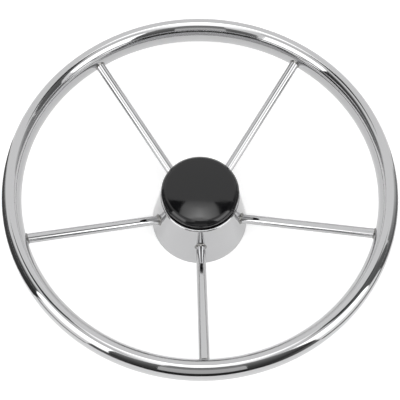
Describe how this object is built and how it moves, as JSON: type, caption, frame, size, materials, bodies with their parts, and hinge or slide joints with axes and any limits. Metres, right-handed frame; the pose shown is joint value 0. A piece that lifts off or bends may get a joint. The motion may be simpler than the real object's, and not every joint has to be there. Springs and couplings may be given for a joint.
{
  "type": "boat steering wheel",
  "caption": "Dished round steering wheel for a boat: polished oval stainless tube rim, sloping rod spokes, conical hub with a tapered shaft bore, and a black domed centre cap that pulls off.",
  "frame": {"origin": "on the shaft axis, in the plane of the hub cup's rear edge", "axes": "+Z along the shaft axis towards the person steering; -Y along the first spoke; +Y through the keyway"},
  "size_m": [0.3938, 0.3938, 0.1038],
  "materials": {
    "polished_stainless": "mirror-polished stainless oval tube",
    "polished_rod": "polished stainless rod",
    "polished_cup": "buffed stainless pressing",
    "dressed_weld": "weld bead, dressed and buffed",
    "turned_stainless": "turned, fine tool marks",
    "black_plastic": "gloss"
  },
  "bodies": {
    "wheel": {"rim_tube": "polished_stainless", "hub_cup": "polished_cup", "hub_boss": "turned_stainless", "spoke_1": "polished_rod", "spoke_2": "polished_rod", "spoke_3": "polished_rod", "spoke_4": "polished_rod", "spoke_5": "polished_rod", "rim_weld_1": "dressed_weld", "rim_weld_2": "dressed_weld", "rim_weld_3": "dressed_weld", "rim_weld_4": "dressed_weld", "rim_weld_5": "dressed_weld", "cup_weld_1": "dressed_weld", "cup_weld_2": "dressed_weld", "cup_weld_3": "dressed_weld", "cup_weld_4": "dressed_weld", "cup_weld_5": "dressed_weld", "boss_weld_1": "dressed_weld", "boss_weld_2": "dressed_weld", "boss_weld_3": "dressed_weld", "boss_weld_4": "dressed_weld", "boss_weld_5": "dressed_weld"},
    "cap": {"centre_cap": "black_plastic"}
  },
  "joints": [
    {"name": "cap_pull", "type": "slide", "parent": "wheel", "child": "cap", "axis": [0, 0, 1], "range_m": [0, 0.03]}
  ]
}
